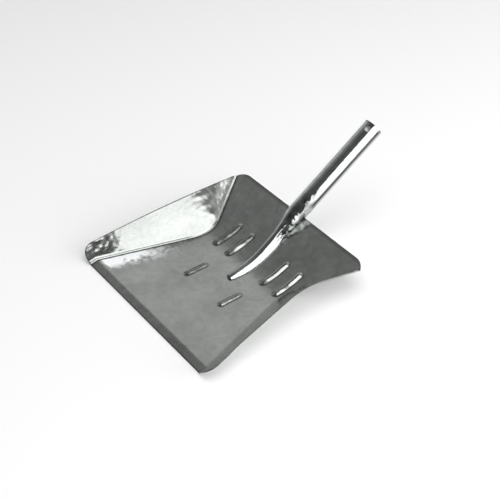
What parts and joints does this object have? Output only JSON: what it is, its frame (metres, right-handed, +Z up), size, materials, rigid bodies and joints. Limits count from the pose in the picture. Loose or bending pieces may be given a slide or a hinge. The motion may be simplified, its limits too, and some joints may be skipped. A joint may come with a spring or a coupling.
{
  "type": "feed scoop",
  "caption": "Hand feed scoop of galvanised sheet steel: wide pan with folded side walls, pressed beads and a sloping tube handle.",
  "frame": {"origin": "centre of the scoop's footprint at the lowest point of its front lip", "axes": "+X across the pan to the right seen from behind the handle, +Y from the front lip to the handle, +Z up"},
  "size_m": [0.228, 0.3064, 0.1136],
  "materials": {
    "galvanised_pan": "galvanised, satin",
    "galvanised_handle": "galvanised, semi-bright",
    "weld_steel": "dull"
  },
  "bodies": {
    "root": {"pan": "galvanised_pan", "handle": "galvanised_handle", "spot_welds": "weld_steel"}
  },
  "joints": []
}
